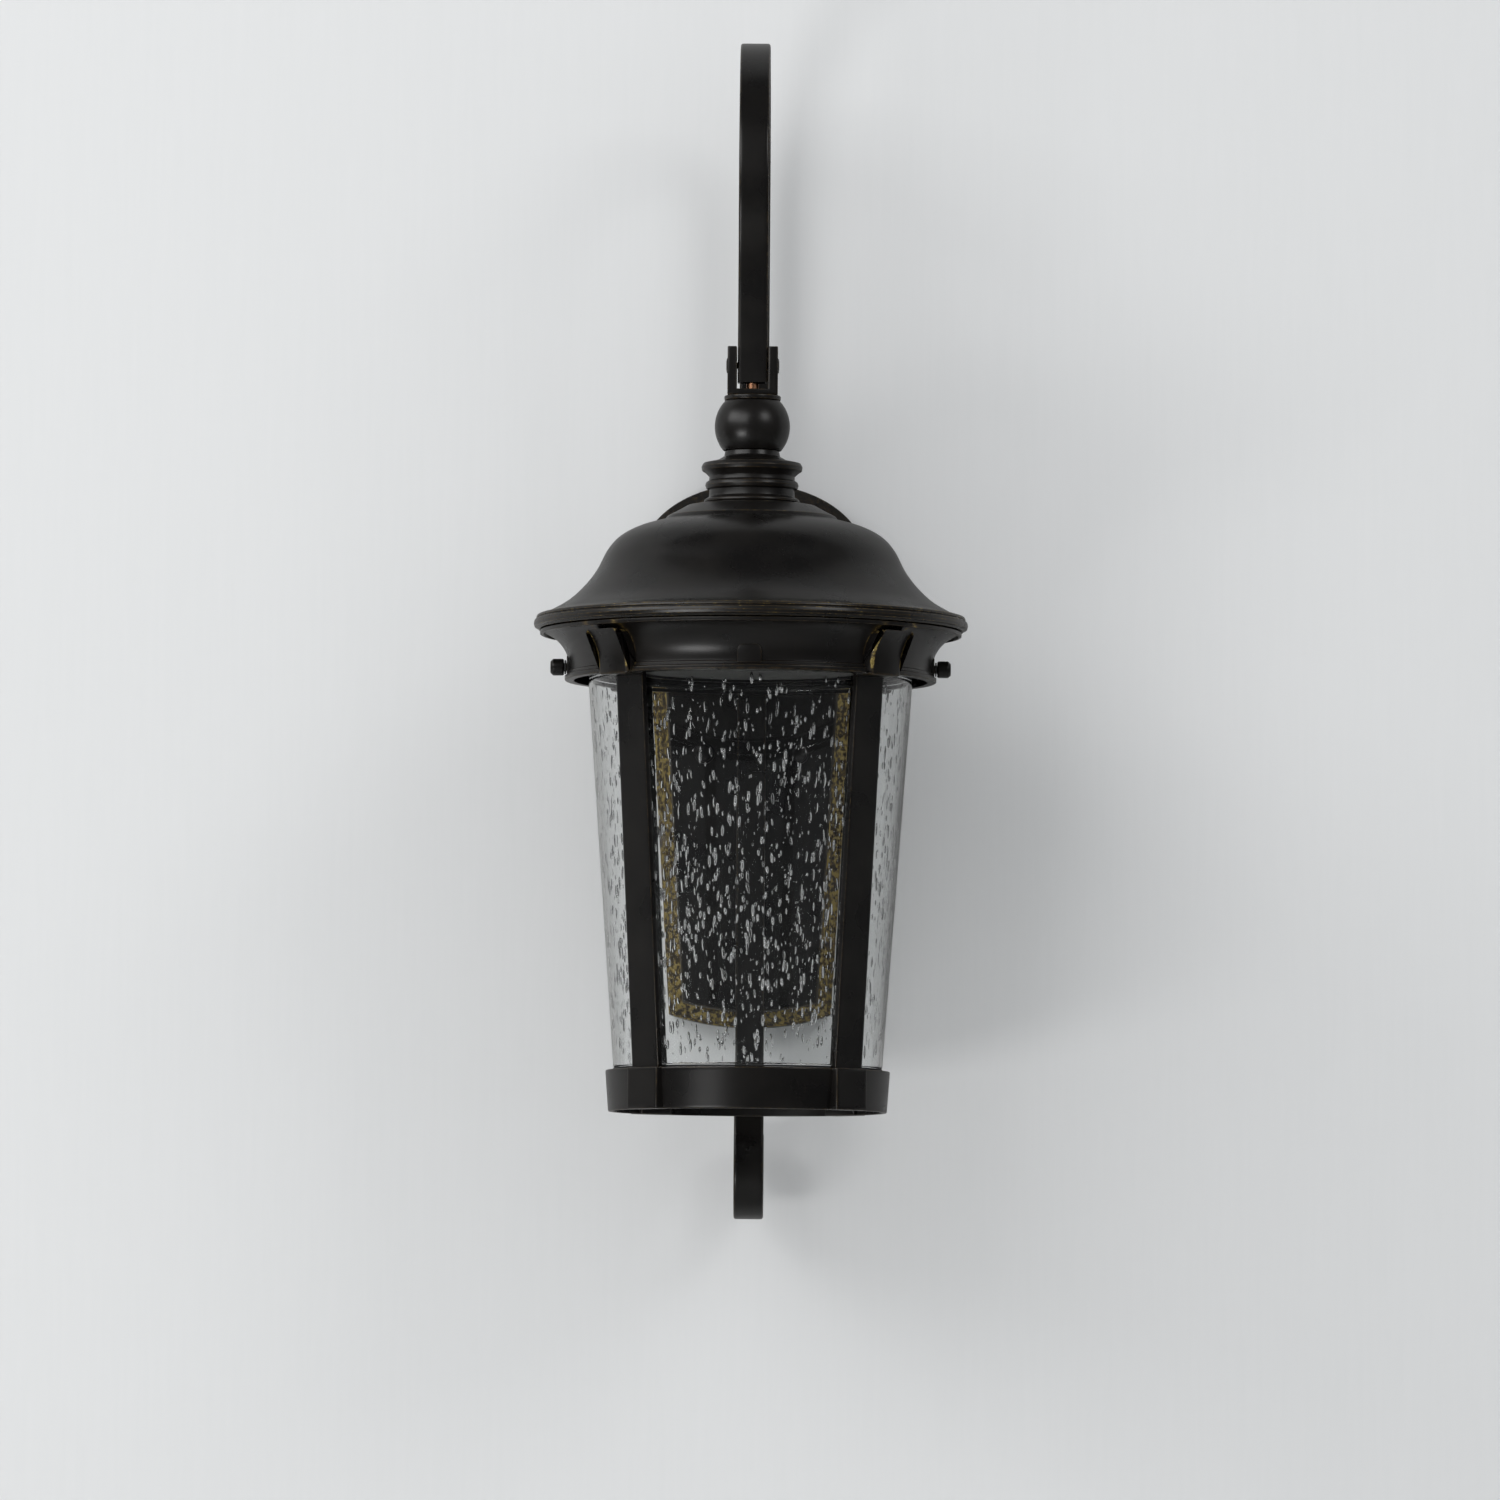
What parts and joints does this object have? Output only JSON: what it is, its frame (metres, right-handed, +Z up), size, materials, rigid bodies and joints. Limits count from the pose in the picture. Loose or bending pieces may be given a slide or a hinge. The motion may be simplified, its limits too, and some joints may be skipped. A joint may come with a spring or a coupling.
{
  "type": "outdoor wall lantern",
  "caption": "Wall lantern with a seedy-glass cage in flat posts, a bell roof and turned collar, hung from a crook arm above a scrolled tail.",
  "frame": {"origin": "middle of the crossbar's back face, on the wall plane", "axes": "+Z up, along the lantern's own axis; +Y into the wall; -Y out into the open, where the lantern hangs"},
  "size_m": [0.228, 0.274, 0.624],
  "materials": {
    "bronze": "satin oil-rubbed bronze paint, worn to gold on its edges",
    "bronze_fixing": "satin bronze paint",
    "zinc_steel": "zinc plated",
    "brass": "machined",
    "green_screw": "green dyed zinc",
    "aluminium": "bead blasted",
    "white_paint": "matte white",
    "board_white": "solder mask",
    "driver_case": "moulded",
    "frosted_lens": "frosted polycarbonate",
    "seedy_glass": "clear with drawn-out air bubbles",
    "black_rubber": "matte",
    "grey_foam": "closed-cell foam",
    "black_lead": "insulation",
    "white_lead": "insulation",
    "green_lead": "insulation"
  },
  "bodies": {
    "wall_bracket": {"backplate": "bronze", "wall_gasket": "grey_foam", "crossbar": "zinc_steel", "ground_screw": "green_screw", "mounting_stud_left": "zinc_steel", "mounting_stud_right": "zinc_steel", "cap_nut_left": "bronze_fixing", "cap_nut_right": "bronze_fixing", "arm_tube": "bronze", "tail_scroll": "bronze", "arm_screw_1": "zinc_steel", "arm_screw_2": "zinc_steel", "tail_screw_1": "zinc_steel", "tail_screw_2": "zinc_steel", "arm_lead": "black_lead", "live_lead": "black_lead", "neutral_lead": "white_lead", "ground_lead": "green_lead"},
    "lantern_head": {"clevis": "bronze", "pivot_screw_left": "bronze_fixing", "pivot_screw_right": "bronze_fixing", "top_washer": "bronze", "ball_finial": "bronze", "collar": "bronze", "threaded_nipple": "zinc_steel", "lock_nut": "brass", "roof": "bronze", "roof_gasket": "black_rubber", "roof_pan": "bronze", "pan_screw_1": "zinc_steel", "pan_screw_2": "zinc_steel", "pan_screw_3": "zinc_steel", "driver": "driver_case", "driver_lead": "black_lead", "led_lead": "white_lead", "engine_can": "bronze", "heat_spreader": "aluminium", "led_board": "board_white", "reflector": "white_paint", "diffuser_lens": "frosted_lens", "engine_screw_1": "zinc_steel", "engine_screw_2": "zinc_steel", "engine_screw_3": "zinc_steel"},
    "cage": {"gallery_ring": "bronze", "post_front_left": "bronze", "post_front_right": "bronze", "post_rear_right": "bronze", "post_rear_left": "bronze", "post_screw_front_left": "zinc_steel", "post_screw_front_right": "zinc_steel", "post_screw_rear_right": "zinc_steel", "post_screw_rear_left": "zinc_steel", "bottom_ring": "bronze", "glass_shade": "seedy_glass", "glass_top_gasket": "black_rubber", "glass_foot_gasket": "black_rubber"},
    "left_washer": {"thumbscrew_washer_left": "black_rubber"},
    "left_thumbscrew": {"thumbscrew_left": "bronze_fixing"},
    "right_washer": {"thumbscrew_washer_right": "black_rubber"},
    "right_thumbscrew": {"thumbscrew_right": "bronze_fixing"}
  },
  "joints": [
    {"name": "lantern_level", "type": "hinge", "parent": "wall_bracket", "child": "lantern_head", "pos_m": [0, -0.16, 0.196], "axis": [1, 0, 0], "range_deg": [-5, 2.2]},
    {"name": "cage_drop", "type": "slide", "parent": "lantern_head", "child": "cage", "axis": [0, 0, -1], "range_m": [0, 0.035]},
    {"name": "left_thumbscrew_travel", "type": "slide", "parent": "cage", "child": "left_washer", "axis": [-1, 0, 0], "range_m": [0, 0.0035]},
    {"name": "left_thumbscrew_turn", "type": "hinge", "parent": "left_washer", "child": "left_thumbscrew", "pos_m": [0, -0.16, 0.0364], "axis": [-1, 0, 0], "range_deg": [0, 1800.5]},
    {"name": "right_thumbscrew_travel", "type": "slide", "parent": "cage", "child": "right_washer", "axis": [1, 0, 0], "range_m": [0, 0.0035]},
    {"name": "right_thumbscrew_turn", "type": "hinge", "parent": "right_washer", "child": "right_thumbscrew", "pos_m": [0, -0.16, 0.0364], "axis": [1, 0, 0], "range_deg": [0, 1800.5]}
  ],
  "couplings": [
    {"joint": "left_thumbscrew_turn", "follows": "left_thumbscrew_travel", "rad_per_m": 8976},
    {"joint": "right_thumbscrew_turn", "follows": "right_thumbscrew_travel", "rad_per_m": 8976}
  ]
}
